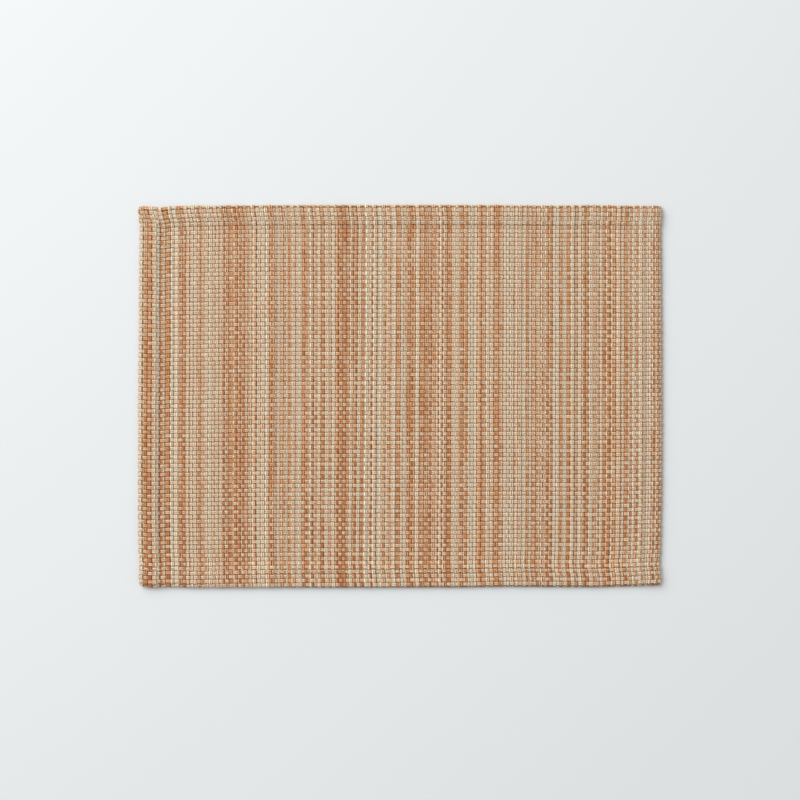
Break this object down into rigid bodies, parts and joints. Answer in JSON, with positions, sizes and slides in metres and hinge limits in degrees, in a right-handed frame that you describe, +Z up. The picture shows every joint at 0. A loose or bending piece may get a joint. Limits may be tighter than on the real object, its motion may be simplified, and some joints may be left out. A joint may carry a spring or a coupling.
{
  "type": "woven placemat",
  "caption": "Rectangular woven cotton placemat with narrow stripes in rust, peach and cream across its depth, its edges turned under and stitched.",
  "frame": {"origin": "on the surface the mat lies on, under the middle of its bounding box", "axes": "+X along the long side, +Y along the short side towards the edge at the top of the picture, +Z up"},
  "size_m": [0.48, 0.351, 0.006],
  "materials": {
    "cotton_weave": "matt plain weave of thick cotton yarns in rust, peach and cream, with stripes of uneven width"
  },
  "bodies": {
    "root": {"woven_mat": "cotton_weave"}
  },
  "joints": []
}
